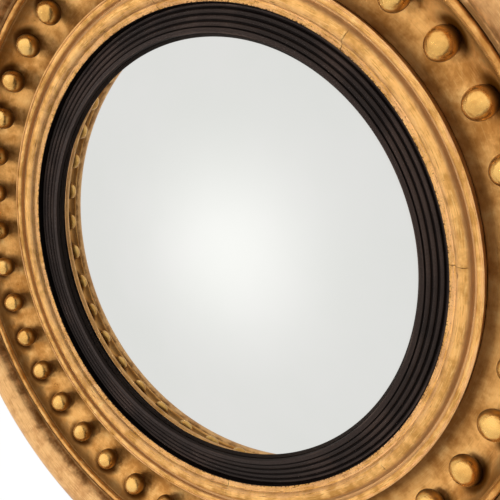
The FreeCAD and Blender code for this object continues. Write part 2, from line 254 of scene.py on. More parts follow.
def turnsOf(outline, reach):  # how sharply the outline bends at each point: + on edges, - in nooks
    count = len(outline)
    area = sum(a[0] * b[1] - b[0] * a[1] for a, b in zip(outline, outline[1:] + outline[:1]))
    way = 1 if area > 0 else -1

    def walk(k, direction):
        left, here = reach, outline[k]
        while left > 0:
            k = (k + direction) % count
            leg = math.dist(here, outline[k])
            if leg >= left:
                return between(here, outline[k], left / leg)
            left, here = left - leg, outline[k]
        return here

    turns = []
    for k, here in enumerate(outline):
        back, ahead = walk(k, -1), walk(k, 1)
        first = math.atan2(here[1] - back[1], here[0] - back[0])
        second = math.atan2(ahead[1] - here[1], ahead[0] - here[0])
        turns.append(way * ((second - first + math.pi) % math.tau - math.pi))
    return turns


# ---- geometry trees

def newTree(name, sockets):
    tree = bpy.data.node_groups.new(name, "GeometryNodeTree")
    tree.interface.new_socket("Piece", in_out="OUTPUT", socket_type="NodeSocketGeometry")
    for label, kind in sockets.items():
        tree.interface.new_socket(label, in_out="INPUT", socket_type="NodeSocket" + kind)
    return Bench(tree)


def closeTree(bench, shape, given):  # every tree ends in the same way
    shape = bench.node("GeometryNodeSetShadeSmooth", {}, {"Geometry": shape})
    values = {"Geometry": shape, "Material": given.also("Material")}
    shape = bench.node("GeometryNodeSetMaterial", {}, values)
    end = bench.tree.nodes.new("NodeGroupOutput")
    bench.tree.links.new(shape.socket, end.inputs[0])
    return bench.tree


inwards = 0.9  # taken off each wave, so that it dips under the CAD's face


def uneven(bench, shape, given):  # a hand's slight unevenness, along the face's own direction
    place = bench.node("GeometryNodeInputPosition")
    values = {"Vector": place, "Scale": given.also("Waves"), "W": given.also("Seed"), "Detail": 1.0}
    wave = bench.node("ShaderNodeTexNoise", {"noise_dimensions": "4D"}, values)
    amount = (wave - inwards) * given.also("Unevenness")
    offset = bench.vector("SCALE", bench.node("GeometryNodeInputNormal"), Scale=amount)
    return bench.node("GeometryNodeSetPosition", {}, {"Geometry": shape, "Offset": offset})


handInputs = {"Unevenness": "Float", "Waves": "Float", "Seed": "Float", "Material": "Material"}


def turningTree():  # a section swept once round the mirror's axis
    sockets = {"Section": "Geometry", "Spine Radius": "Float", "Facets Round": "Int"}
    bench = newTree("turnedMoulding", sockets | handInputs)
    given = bench.node("NodeGroupInput")
    section = bench.node("GeometryNodeMeshToCurve", {}, {"Mesh": given})
    spineValues = {"Resolution": given.also("Facets Round"), "Radius": given.also("Spine Radius")}
    spine = bench.node("GeometryNodeCurvePrimitiveCircle", {}, spineValues)
    ring = bench.node("GeometryNodeCurveToMesh", {}, {"Curve": spine, "Profile Curve": section})
    upright = {"Geometry": ring, "Rotation": (math.pi / 2, 0, 0)}
    ring = bench.node("GeometryNodeTransform", {}, upright)
    ring = bench.node("GeometryNodeMergeByDistance", {}, {"Geometry": ring, "Distance": 1e-6})
    return closeTree(bench, uneven(bench, ring, given), given)


def ballTree():  # balls evenly round a circle, each turned its own way
    sockets = {
        "Start": "Geometry", "Balls": "Int", "Circle Radius": "Float", "First Angle": "Float",
        "Out": "Float", "Ball Radius": "Float",
    }
    bench = newTree("ballCircle", sockets | handInputs)
    given = bench.node("NodeGroupInput")
    circle = {"Vertices": given.also("Balls"), "Radius": given.also("Circle Radius")}
    points = bench.node("GeometryNodeMeshCircle", {}, circle)
    upright = {"Geometry": points, "Rotation": (math.pi / 2, 0, 0)}
    points = bench.node("GeometryNodeTransform", {}, upright)
    swing = bench.combine(0.0, 0 - given.also("First Angle"), 0.0)
    lift = bench.combine(0.0, 0 - given.also("Out"), 0.0)
    placed = {"Geometry": points, "Rotation": swing, "Translation": lift}
    points = bench.node("GeometryNodeTransform", {}, placed)
    sphere = {"Segments": 40, "Rings": 24, "Radius": given.also("Ball Radius")}
    ball = bench.node("GeometryNodeMeshUVSphere", {}, sphere)
    chance = {0: (0.0, 0.0, 0.0), 1: (math.tau, math.tau, math.tau), "Seed": 7}
    spin = bench.node("FunctionNodeRandomValue", {"data_type": "FLOAT_VECTOR"}, chance)
    spin = bench.node("FunctionNodeEulerToRotation", {}, {0: spin})
    instance = {"Points": points, "Instance": ball, "Rotation": spin}
    balls = bench.node("GeometryNodeInstanceOnPoints", {}, instance)
    balls = bench.node("GeometryNodeRealizeInstances", {}, {"Geometry": balls})
    return closeTree(bench, uneven(bench, balls, given), given)


trees = {"turned": turningTree(), "balls": ballTree()}


def grow(name, tree, start, inputs):  # runs a tree on a start mesh and keeps what it makes
    source = bpy.data.objects.new(name, start)
    bpy.context.scene.collection.objects.link(source)
    modifier = source.modifiers.new(name, "NODES")
    modifier.node_group = tree
    for item in tree.interface.items_tree:
        if item.in_out == "INPUT" and item.name in inputs:
            modifier[item.identifier] = inputs[item.name]
    bpy.context.view_layer.update()
    ready = source.evaluated_get(bpy.context.evaluated_depsgraph_get())
    mesh = bpy.data.meshes.new_from_object(ready)
    source.modifiers.remove(modifier)
    source.data = mesh
    outwards(mesh)
    return source


def outwards(mesh):  # faces of a closed skin turned outwards
    volume = 0.0
    corners = [v.co for v in mesh.vertices]
    for face in mesh.polygons:
        ids = face.vertices
        for k in range(1, len(ids) - 1):
            volume += corners[ids[0]].dot(corners[ids[k]].cross(corners[ids[k + 1]]))
    if volume < 0:
        mesh.flip_normals()


def turned(name, outline, material, body, node, form):  # form has sizes in mm, and waves in a metre
    mesh = bpy.data.meshes.new(name)
    spine = form["spine"] * mm
    points = [(r * mm - spine, -out * mm, 0) for r, out in outline]
    mesh.from_pydata(points, [(k, (k + 1) % len(points)) for k in range(len(points))], [])
    rub = mesh.attributes.new("rub", "FLOAT", "POINT")
    nook = mesh.attributes.new("nook", "FLOAT", "POINT")
    for k, bend in enumerate(turnsOf(outline, form["wearReach"])):
        rub.data[k].value = min(1.0, max(0.0, bend))
        nook.data[k].value = min(1.0, max(0.0, -bend))
    inputs = {
        "Spine Radius": spine, "Facets Round": form["facetsRound"], "Material": material,
        "Unevenness": form["unevenness"] * mm, "Waves": form["waves"], "Seed": form["seed"],
    }
    piece = grow(name, trees["turned"], mesh, inputs)
    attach(piece, body)
    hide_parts(node)
    print(name, "turned:", len(piece.data.vertices), "points")


# ---- gilding: leaf over reddish bole, toned and rubbed

ballRow = {  # mm and degrees; lean is how far a ball's own axis rises out of the frame's plane
    "count": 39, "circle": 244.31, "out": 49.28, "radius": 10.0, "firstAngle": 5.6, "lean": 43.6,
    "unevenness": 0.35, "waves": 90.0, "seed": 3.0,
}
seatShade = {  # painted shade round each ball's foot and painted shadow in the pockets beside it: mm from a ball's axis, and the radii in mm between which the pockets darken
    "foot": (9.4, 7.0), "footAmount": 0.8, "pocketShadow": (19.0, 11.0),
    "outerPocket": (247.0, 253.0), "innerPocket": (241.0, 233.0), "innerShare": 0.6,
}
ballShadeAndWear = {  # painted shade under and behind each ball, and wear on its crown: mm over a ball's centre, along its own axis and straight forward
    "under": (2.5, -4.5), "underAmount": 0.82, "behind": (5.0, -3.5), "behindAmount": 0.9,
    "waver": 4, "crown": (8.6, 9.9), "crowned": (0.45, 0.62), "crownWear": 0.5,
}


def ballSpace(f):  # in mm: height over a ball's centre, distance from its axis, and how far forward
    near = f.nearest(ballRow["count"], ballRow["firstAngle"])
    beyond = f.reach * near.math("COSINE") - ballRow["circle"]
    aside = f.reach * near.math("SINE")
    forward = f.out / mm - ballRow["out"]
    lean = math.radians(ballRow["lean"])
    height = forward * math.sin(lean) - beyond * math.cos(lean)
    away = beyond * beyond + aside * aside + forward * forward - height * height
    return height, away.most(0.0).math("SQRT"), forward


bandWaver = {"rubbed": 5, "paintedShadeBands": 9}  # mm that such a band wanders
bandEnd = 0.2  # mm over which a band of painted shade stops


class Gilding(Finish):  # leaf, and the patterns in which it is laid, rubbed and toned, with painted shade in nooks, in bands and round the balls
    def __init__(self, name, look):
        super().__init__(name)
        self.look = look
        self.rub, self.nook = self.wear("rub"), self.wear("nook")
        seed = look["seed"]
        self.broad = self.noise(self.place, scale=16.0, detail=3.0, rough=0.55, depth=seed)
        self.patch = self.noise(self.place, scale=75.0, detail=4.0, rough=0.62, depth=seed + 3)
        self.dent = self.noise(self.place, scale=150.0, detail=2.0, rough=0.45, depth=seed + 7)
        self.speck = self.noise(self.place, scale=620.0, detail=3.0, rough=0.65, depth=seed + 5)
        self.line = self.streaks(along=0.024, across=0.0010, detail=3.0, shift=seed)
        self.fine = self.streaks(along=0.010, across=0.0006, detail=2.0, shift=seed + 20)
        self.specks = self.speck.ramp(*look["speckled"]) * look["specks"]
        self.patchy, self.lined = self.patch - 0.5, self.line - 0.5

    def leafColour(self):
        look = self.look
        mottle = self.patch * look["patchShare"] + self.broad * look["broadShare"]
        leaf = self.mix(mottle.ramp(*look["mottled"]), look["deep"], look["leaf"])
        leaf = self.mix(self.patch.ramp(*look["brightened"]) * look["brightShare"], leaf, look["bright"])
        leaf = self.mix(self.fine.ramp(*look["deepStreaked"]) * look["streak"], leaf, look["deep"])
        bright = self.fine.ramp(*look["brightStreaked"]) * look["streak"] * look["brightStreak"]
        return self.mix(bright, leaf, look["bright"])

    def wornThrough(self):  # how far the leaf is rubbed through to the bole
        look, waver = self.look, self.patchy * bandWaver["rubbed"]
        worn = self.rub * look["edgeWear"] + self.lined * look["lineWear"]
        worn = worn + self.patchy * look["patchWear"] + look["wear"]
        worn = worn.ramp(*look["worn"])
        streaked = (self.line * look["bandLine"] + self.patch * look["bandPatch"]).ramp(*look["bandWorn"])
        for start, full, amount in look["rubbed"]:
            worn = worn.most((self.reach + waver).ramp(start, full) * streaked * amount)
        return worn

    def toningAndShade(self):  # how far dark toning, painted shade in the nooks and bands of painted shade cover the leaf
        look, waver = self.look, self.patchy * bandWaver["paintedShadeBands"]
        dirtAndShade = self.nook * look["nookShade"] + self.patchy * look["patchTone"]
        dirtAndShade = dirtAndShade + self.lined * look["lineTone"]
        tone = dirtAndShade.ramp(*look["dirty"]) * look["toningAndShade"]
        for start, full, stop, amount in look["paintedShadeBands"]:
            within = self.reach.ramp(stop + bandEnd, stop - bandEnd)
            tone = tone.most((self.reach + waver).ramp(start, full) * within * amount)
        return tone.most(self.specks)

    def paintSeatShade(self, tone):  # painted shade round the foot of each ball, and painted shadow in the pockets beside it
        look = seatShade
        away = ballSpace(self)[1]
        inner = self.reach.ramp(*look["innerPocket"]) * look["innerShare"]
        pocketShadow = self.reach.ramp(*look["outerPocket"]).most(inner)
        tone = tone.most(away.ramp(*look["foot"]) * look["footAmount"])
        return tone.most(away.ramp(*look["pocketShadow"]) * pocketShadow)

    def paintBallShadeAndWear(self, tone, worn):  # painted shade makes a ball darker under and behind; it is rubbed on its crown
        look = ballShadeAndWear
        height, _, forward = ballSpace(self)
        waver = self.patchy * look["waver"]
        tone = tone.most(height.ramp(*look["under"]) * look["underAmount"])
        tone = tone.most((forward + waver).ramp(*look["behind"]) * look["behindAmount"])
        crown = height.ramp(*look["crown"]) * self.patch.ramp(*look["crowned"])
        return tone, worn.most(crown * look["crownWear"])

    def edgeToned(self, tone, edge):  # flecks, fine lines and losses towards the sight edge
        fleck = self.noise(self.place, *edge["fleckNoise"]).ramp(*edge["fleck"])
        nibble = self.noise(self.place, *edge["nibbleNoise"]).ramp(*edge["nibble"])
        lines = self.fine.ramp(*edge["lines"])
        tone = tone.most(fleck * self.reach.ramp(*edge["flecked"]) * edge["fleckAmount"])
        tone = tone.most(lines * self.reach.ramp(*edge["lined"]) * edge["lineAmount"])
        return tone.most(nibble * self.reach.ramp(*edge["nibbled"]) * edge["nibbleAmount"])

    def segmentGap(self, joints):  # how open the crack at a joint is, and the bright rim beside it
        near = self.nearest(joints["count"], joints["first"])
        sway = self.noise(self.place, *joints["swayNoise"]) - 0.5
        gap = (near * self.radius + sway * joints["wander"] * mm).math("ABSOLUTE") / mm
        kept = self.noise(self.place, *joints["keptNoise"]).ramp(*joints["kept"])
        kept = kept * self.reach.ramp(*joints["fades"])
        crack = gap.ramp(*joints["crack"]) * kept
        rim = gap.ramp(*joints["rim"]) * (1 - crack)
        return crack, rim * self.patch.ramp(*joints["rimmed"])

    def sightWall(self, edge):  # the wall of the sight edge, and the quirk, which gets painted shade
        wall = self.reach.ramp(*edge["wall"])
        return wall, self.reach.ramp(*edge["quirkInner"]) * self.reach.ramp(*edge["quirkOuter"])


def gilded(name, look, joints=None, edge=None, balls=None):  # balls is "seat" or "ball"
    g = Gilding(name, look)
    worn, tone = g.wornThrough(), g.toningAndShade()
    colour = g.mix(worn * look["bolePower"], g.leafColour(), look["bole"])
    if balls == "seat":
        tone = g.paintSeatShade(tone)
    if balls == "ball":
        tone, worn = g.paintBallShadeAndWear(tone, worn)
    if joints:
        crack, rim = g.segmentGap(joints)
        tone = g.edgeToned(tone, edge).most(crack * joints["crackTone"])
        colour = g.mix(rim * joints["rimAmount"], colour, look["bright"])
    # the tone colour darkens the leaf for real toning and for painted shade alike
    colour = g.mix(tone, colour, look["tone"])
    rough = look["rough"] + g.patchy * look["roughPatch"] + worn * look["roughWorn"]
    rough = rough + tone * look["roughTone"] + (g.speck - 0.5) * look["roughSpeck"]
    height = g.dent * look["dents"] + g.patch * look["patchDepth"]
    height = height + (g.line + g.fine * 0.5) * look["lineDepth"]
    height = height + g.speck * look["speckDepth"] - g.specks * look["speckPit"]
    metal = look["metal"] - worn * look["wornDull"] - tone * look["toneDull"]
    metal = metal - g.nook * look["nookDull"]
    if joints:
        height = height - crack * joints["depth"]
        wall, quirk = g.sightWall(edge)
        colour = g.mix(wall, colour, edge["wallPaint"])
        # painted shade: the quirk is painted a matt brown
        colour = g.mix(quirk * edge["quirkAmount"], colour, edge["quirkShade"])
        metal = metal * (1 - wall) * (1 - quirk * edge["quirkDull"])
    return g.finish(
        Base_Color=colour, Roughness=rough.clamped(), Metallic=metal.clamped(),
        Normal=g.bump(height, look["relief"] * mm), Specular_IOR_Level=look["shine"],
    )


gold = {  # pairs are where a pattern starts to show and where it is full
    "leaf": paint(226, 172, 98), "deep": paint(186, 132, 64), "bright": paint(248, 208, 136),
    "bole": paint(166, 112, 78), "tone": paint(74, 42, 8), "seed": 1.0,
    # the leaf: mottled, with deeper and brighter streaks round the axis
    "patchShare": 0.62, "broadShare": 0.38, "mottled": (0.40, 0.58),
    "brightened": (0.54, 0.72), "brightShare": 0.4,
    "streak": 0.3, "deepStreaked": (0.54, 0.68), "brightStreaked": (0.45, 0.33), "brightStreak": 0.6,
    # rubbed to the bole, and bands of it: start and full radius in mm, amount
    "edgeWear": 0.35, "lineWear": 0.3, "patchWear": 0.9, "wear": 0.02, "worn": (0.35, 0.75),
    "bolePower": 0.7, "bandLine": 0.7, "bandPatch": 0.3, "bandWorn": (0.42, 0.56), "rubbed": [],
    # toned at random, painted shade in the nooks, and bands of painted shade: start, full and stop radius
    # in mm, amount
    "nookShade": 0.65, "patchTone": 0.7, "lineTone": 0.15, "dirty": (0.12, 0.80), "toningAndShade": 0.85,
    "speckled": (0.66, 0.74), "specks": 0.55, "paintedShadeBands": [],
    # the surface
    "rough": 0.32, "roughPatch": 0.22, "roughWorn": 0.14, "roughTone": 0.22, "roughSpeck": 0.10,
    "metal": 0.90, "wornDull": 0.30, "toneDull": 0.15, "nookDull": 0.6, "shine": 0.12,
    "dents": 1.4, "patchDepth": 0.45, "lineDepth": 0.06, "speckDepth": 0.14, "speckPit": 0.4,
    "relief": 0.55,
}


# ---- outer moulding: one bold torus over a cove and plinth

outerMoulding = {
    "bore": 263.86, "base": 28.0, "quirk": 2.6, "torus": 15.7, "torusOut": 64.3, "filletInset": 0.7,
    "filletReturn": 0.8, "coveInset": 4.6, "coveRise": 16.0, "bellyAcross": 0.25, "bellyUp": 0.62,
    "plinthRise": 11.0, "soft": 0.5,
    "spine": 150.0, "facetsRound": 360, "wearReach": 1.6,
    "unevenness": 0.5, "waves": 9.0, "seed": 2.0,
}


def outerSection():
    m = outerMoulding
    centre = (m["bore"] + m["quirk"] + m["torus"], m["torusOut"])
    fillet = centre[0] + m["torus"] - m["filletInset"]
    under = -math.degrees(math.acos((fillet - centre[0]) / m["torus"]))
    plinth, plinthTop = fillet - m["coveInset"], m["base"] + m["plinthRise"]
    coveTop = plinthTop + m["coveRise"]
    start = (m["bore"], m["base"])
    s = Section(*start).line(m["bore"], centre[1]).line(m["bore"] + m["quirk"], centre[1])
    s.arc((centre[0], centre[1] + m["torus"]), spoke(centre, m["torus"], math.radians(under)))
    s.line(fillet, coveTop).line(fillet - m["filletReturn"], coveTop)
    belly = (plinth + m["bellyAcross"] * m["coveInset"], plinthTop + m["bellyUp"] * m["coveRise"])
    s.arc(belly, (plinth, plinthTop)).line(plinth, m["base"])
    return s.closed(start, m["soft"])


outerGold = gold | {
    "leaf": paint(230, 178, 116), "deep": paint(196, 142, 88), "bright": paint(250, 208, 146),
    "bole": paint(204, 156, 118), "tone": paint(96, 60, 20), "wear": 0.16, "lineWear": 1.0,
    "lineTone": 0.7, "lineDepth": 0.30, "dents": 0.8, "streak": 0.8, "rough": 0.36, "metal": 0.72,
    "nookShade": 0.45, "seed": 4.0,
    # a band of painted shade over the quirk and the torus's inner flank
    "paintedShadeBands": [(269.0, 265.4, 300.0, 0.8)],
}
turned(
    "outerMoulding", outerSection(), gilded("rubbedTorusGilding", outerGold), "frame",
    "outer_moulding", outerMoulding,
)


# ---- gilt hollow with its outer bead

giltHollow = {
    "inner": 222.4, "base": 28.0, "floor": 5.0, "radius": 36.0, "inset": 1.2, "height": 27.0,
    "lip": 0.9, "bead": 2.2, "beadRise": 2.6, "soft": 0.35,
    "spine": 150.0, "facetsRound": 360, "wearReach": 1.3,
    "unevenness": 0.35, "waves": 12.0, "seed": 5.0,
}


def hollowSection():
    m = giltHollow
    centre = (m["inner"] + m["inset"], m["base"] + m["floor"] + m["radius"])
    lip = m["base"] + m["floor"] + m["height"]
    rise = centre[1] - lip
    lipRadius = centre[0] + math.sqrt(m["radius"] ** 2 - rise ** 2)
    first = -90 - math.degrees(math.asin(m["inset"] / m["radius"]))
    last = -math.degrees(math.asin(rise / m["radius"]))
    bead = (lipRadius + m["lip"] + m["bead"], lip + m["beadRise"])
    start = (m["inner"], m["base"])
    s = Section(*start).turn(centre, m["radius"], first, last)
    s.line(bead[0] - m["bead"], lip).line(bead[0] - m["bead"], bead[1])
    s.arc((bead[0], bead[1] + m["bead"]), (bead[0] + m["bead"], bead[1]), step=0.5)
    s.line(bead[0] + m["bead"], m["base"])
    return s.closed(start, m["soft"])


hollowGold = gold | {
    # bands of painted shade beside the inner drop and under the outer bead
    "paintedShadeBands": [(244.0, 225.0, 300.0, 0.72), (253.5, 258.5, 259.3, 0.7)], "edgeWear": -0.3,
    "leaf": paint(232, 172, 98), "deep": paint(184, 124, 58), "tone": paint(84, 46, 8),
    "metal": 0.66,
}
turned(
    "giltHollow", hollowSection(), gilded("hollowGilding", hollowGold, balls="seat"), "frame",
    "gilt_hollow", giltHollow,
)


# ---- ring of gilt balls

ballGold = gold | {
    # tone is also the colour of the painted shade under and behind each ball
    "leaf": paint(242, 190, 108), "deep": paint(216, 160, 84), "tone": paint(64, 42, 8),
    "edgeWear": 0.0, "lineWear": 0.0, "wear": 0.06, "seed": 8.0, "rough": 0.26, "metal": 0.92,
    "dents": 2.6, "relief": 0.28, "streak": 0.0,
}


def makeBalls():
    m = ballRow
    inputs = {
        "Balls": m["count"], "Circle Radius": m["circle"] * mm, "Out": m["out"] * mm,
        "First Angle": math.radians(m["firstAngle"]), "Ball Radius": m["radius"] * mm,
        "Unevenness": m["unevenness"] * mm, "Waves": m["waves"], "Seed": m["seed"],
        "Material": gilded("ballGilding", ballGold, balls="ball"),
    }
    balls = grow("giltBalls", trees["balls"], bpy.data.meshes.new("giltBalls"), inputs)
    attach(balls, "frame")
    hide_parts("gilt_balls")
    print("balls set:", len(balls.data.vertices), "points")


makeBalls()


# ---- inner moulding, glued up from eight segments

innerMoulding = {
    "sight": 200.0, "base": 28.0, "edge": 5.0, "band": 4.4, "bandRise": 1.8, "torus": 10.7,
    "torusCrest": 12.2, "torusCrestAt": 0.58, "torusFall": 2.6, "quirk": 1.1, "quirkDepth": 1.1,
    "bead": 3.5, "beadCrest": 13.6, "beadCrestAt": 0.55, "fillet": 1.5, "filletTop": 14.5,
    "soft": 0.3, "spine": 150.0, "facetsRound": 360, "wearReach": 0.9,
    "unevenness": 0.25, "waves": 14.0, "seed": 9.0,
}
segmentJoints = {  # mm from the joint, and radii in mm between which its crack fades
    "count": 8, "first": 10.4, "crack": (0.35, 0.105), "crackTone": 0.9, "depth": 1.2, "wander": 5.0,
    "rim": (2.0, 0.8), "rimmed": (0.45, 0.6), "rimAmount": 0.4, "fades": (218.0, 209.0),
    "swayNoise": (120.0, 4.0, 0.65, 2.0), "keptNoise": (60.0, 2.0, 0.5, 4.0), "kept": (0.42, 0.56),
}
sightEdge = {  # radii in mm; the wall is ebonised like the slip, and the quirk is a matt brown as painted shade in that groove
    "flecked": (208.5, 203.0), "lined": (210.0, 206.0), "nibbled": (201.9, 200.5),
    "wall": (200.55, 200.30), "quirkInner": (211.5, 214.5), "quirkOuter": (218.0, 217.0),
    "wallPaint": paint(14, 9, 8), "quirkShade": paint(176, 136, 92),
    "quirkAmount": 0.85, "quirkDull": 0.95,
    # marks in the gilding: scale, detail, roughness and depth of a noise, and where it shows
    "fleckNoise": (1100.0, 2.0, 0.6, 3.0), "fleck": (0.58, 0.68), "fleckAmount": 0.7,
    "nibbleNoise": (640.0, 3.0, 0.6, 9.0), "nibble": (0.50, 0.58), "nibbleAmount": 0.95,
    "lines": (0.62, 0.69), "lineAmount": 0.75,
}


def innerSection():
    m = innerMoulding
    base, bandEnd = m["base"], m["sight"] + m["band"]
    quirkTop, torusEnd = base + m["torusCrest"] - m["torusFall"], bandEnd + m["torus"]
    beadStart = torusEnd + 2 * m["quirk"]
    beadEnd = beadStart + m["bead"]
    s = Section(m["sight"], base).line(m["sight"], base + m["edge"])
    s.line(bandEnd, base + m["edge"] + m["bandRise"])
    crest = (bandEnd + m["torusCrestAt"] * m["torus"], base + m["torusCrest"])
    s.arc(crest, (torusEnd, quirkTop), step=0.8)
    s.line(torusEnd + m["quirk"], quirkTop - m["quirkDepth"]).line(beadStart, quirkTop)
    beadTop = (beadStart + m["beadCrestAt"] * m["bead"], base + m["beadCrest"])
    s.arc(beadTop, (beadEnd, base + m["beadCrest"]), step=0.5)
    s.line(beadEnd, base + m["filletTop"]).line(beadEnd + m["fillet"], base + m["filletTop"])
    s.line(beadEnd + m["fillet"], base)
    return s.closed((m["sight"], base), m["soft"], step=1.0)


innerGold = gold | {
    "bole": paint(206, 156, 112), "leaf": paint(236, 178, 104), "wear": 0.08, "lineWear": 0.6,
    "lineTone": 0.35, "lineDepth": 0.18, "nookShade": 0.15, "dents": 0.7, "streak": 0.8,
    "rough": 0.33, "metal": 0.66, "seed": 12.0,
    "rubbed": [(210.0, 205.0, 0.8), (219.6, 220.8, 0.8)],
}
turned(
    "innerMoulding", innerSection(), gilded("innerGilding", innerGold, segmentJoints, sightEdge),
    "frame", "inner_moulding_segments", innerMoulding,
)


# ---- ebonised reeded slip

reededSlip = {
    "lip": 180.0, "lipWidth": 3.8, "lipFront": 28.0, "lipFall": 0.2, "reeds": 4, "pitch": 4.5,
    "width": 4.1, "rise": 1.5, "crest": 28.25, "face": 199.7, "flange": 207.5,
    "flangeFront": 27.9, "back": 18.0, "bore": 186.6, "boreFront": 22.8, "lipBack": 24.2,
    "soft": 0.15,
    "spine": 150.0, "facetsRound": 360, "wearReach": 0.6,
    "unevenness": 0.06, "waves": 12.0, "seed": 13.0,
}


def slipSection():
    m = reededSlip
    valley, lipEnd = m["crest"] - m["rise"], m["lip"] + m["lipWidth"]
    start = (m["lip"], m["lipBack"])
    s = Section(*start).line(m["lip"], m["lipFront"] - m["lipFall"]).line(lipEnd, m["lipFront"])
    for k in range(m["reeds"]):
        first = lipEnd + m["pitch"] - m["width"] + k * m["pitch"]
        middle, last = first + m["width"] / 2, first + m["width"]
        s.line(first, valley)
        if last < m["face"]:
            s.arc((middle, m["crest"]), (last, valley), step=0.4)
        else:  # the last reed runs on under the sight edge
            bend = ((m["width"] / 2) ** 2 + m["rise"] ** 2) / (2 * m["rise"])
            low = m["crest"] - bend
            half = (first + m["face"]) / 2
            bulge = [low + math.sqrt(bend ** 2 - (r - middle) ** 2) for r in (half, m["face"])]
            s.arc((half, bulge[0]), (m["face"], bulge[1]), step=0.4)
    s.line(m["face"], m["flangeFront"]).line(m["flange"], m["flangeFront"])
    s.line(m["flange"], m["back"]).line(m["bore"], m["back"]).line(m["bore"], m["boreFront"])
    return s.closed(start, m["soft"])


ebony = {
    "deep": paint(15, 10, 9), "pale": paint(25, 18, 16), "palely": (0.3, 0.75),
    # lighter where the reeds' crests are rubbed: partly wear, partly a painted highlight
    "rubbed": paint(92, 72, 62), "rubbing": (0.40, 0.65), "rubAmount": 0.6,
    "lip": paint(48, 38, 34), "lipAmount": 0.4, "lipBlend": (0.2, 0.8),  # the lip is painted lighter as a painted sheen; mm in from the lip's end
    "shadedGroove": paint(5, 3, 3), "grooved": (0.24, 0.07),  # painted shade in the grooves; grooved is a share of a reed's pitch
    "rough": 0.27, "roughGroove": 0.4, "roughLine": 0.16, "roughSpeck": 0.1,
    "lineDepth": 0.5, "speckDepth": 0.2, "relief": 0.12,
    "shine": 0.24, "shineTint": (1.0, 0.80, 0.70, 1.0),
}


def ebonised(name, look):
    f = Finish(name)
    m = reededSlip
    line = f.streaks(along=0.05, across=0.0012, detail=3.0, shift=2.0)
    broad = f.noise(f.place, scale=24.0, detail=3.0, rough=0.5, depth=6.0)
    speck = f.noise(f.place, scale=700.0, detail=2.0, rough=0.6, depth=8.0)
    colour = f.mix(line.ramp(*look["palely"]), look["deep"], look["pale"])
    # partly wear, partly a painted highlight on the crests
    rubbed = f.wear("rub") * broad.ramp(*look["rubbing"]) * look["rubAmount"]
    colour = f.mix(rubbed, colour, look["rubbed"])
    lipEnd, valley = m["lip"] + m["lipWidth"], m["pitch"] - m["width"]
    lipSheen = (lipEnd - f.reach).ramp(*look["lipBlend"])  # the plain lip beside the glass, painted lighter as a painted sheen
    turn = (f.reach - (lipEnd + valley / 2)) / m["pitch"]
    share = turn - turn.math("FLOOR")  # of the way over a reed
    shadedGroove = share.least(1 - share).ramp(*look["grooved"]).most(f.wear("nook"))
    colour = f.mix(lipSheen * look["lipAmount"], colour, look["lip"])
    colour = f.mix(shadedGroove * (1 - lipSheen), colour, look["shadedGroove"])
    rough = look["rough"] + shadedGroove * look["roughGroove"] + (line - 0.5) * look["roughLine"]
    rough = rough + (speck - 0.5) * look["roughSpeck"]
    height = line * look["lineDepth"] + speck * look["speckDepth"]
    return f.finish(
        Base_Color=colour, Roughness=rough.clamped(), Normal=f.bump(height, look["relief"] * mm),
        Specular_IOR_Level=look["shine"], Specular_Tint=look["shineTint"],
    )


turned(
    "reededSlip", slipSection(), ebonised("ebonisedReeds", ebony), "frame", "reeded_slip",
    reededSlip,
)


# ---- convex looking glass

convexGlass = {
    "radius": 186.0, "curve": 650.0, "thickness": 3.0, "rimFront": 22.14,
    "frontRuns": 60, "backRuns": 40,
    "spine": 250.0, "facetsRound": 300, "wearReach": 1.0, "unevenness": 0.0, "waves": 1.0,
    "seed": 0.0,
}


def glassSection():
    m = convexGlass
    low = m["rimFront"] - math.sqrt(m["curve"] ** 2 - m["radius"] ** 2)

    def skin(size, first, last, runs):
        turns = [first + (last - first) * k / runs for k in range(runs + 1)]
        return [spoke((0, low), size, turn) for turn in turns]

    top, inner = math.pi / 2, m["curve"] - m["thickness"]
    front = skin(m["curve"], top, math.acos(m["radius"] / m["curve"]), m["frontRuns"])
    back = skin(inner, math.acos(m["radius"] / inner), top, m["backRuns"])
    return front + [(m["radius"], (front[-1][1] + back[0][1]) / 2)] + back


silver = {
    "cool": paint(236, 237, 233), "clear": paint(239, 239, 236), "cleared": (0.3, 0.7),
    "dust": paint(150, 146, 138), "dusty": (0.72, 0.80), "dustAmount": 0.06,
    # darker and warmer towards the rim: painted shade on the reflection there
    "rim": paint(206, 196, 184), "rimReach": (176.0, 182.0), "rimAmount": 0.25,
}


def silvered(name, look):
    f = Finish(name)
    film = f.noise(f.place, scale=9.0, detail=3.0, rough=0.6, depth=1.0)
    dust = f.noise(f.place, scale=900.0, detail=2.0, rough=0.6, depth=4.0)
    colour = f.mix(film.ramp(*look["cleared"]), look["cool"], look["clear"])
    # painted shade towards the rim
    colour = f.mix(f.reach.ramp(*look["rimReach"]) * look["rimAmount"], colour, look["rim"])
    colour = f.mix(dust.ramp(*look["dusty"]) * look["dustAmount"], colour, look["dust"])
    return f.finish(Base_Color=colour, Metallic=1.0, Roughness=0.0)


turned(
    "convexGlass", glassSection(), silvered("silveredGlass", silver), "frame", "convex_glass",
    convexGlass,
)


# ---- wood, brass, steel, felt and rubber of the back

grain = {  # turns of each pattern in a metre, along and across the grain
    "along": 3.0, "across": 42.0, "poresAlong": 40.0, "poresAcross": 1500.0,
    "rings": 420.0, "ringsOut": 160.0, "sway": 9.0, "nextSegment": 0.37,
}


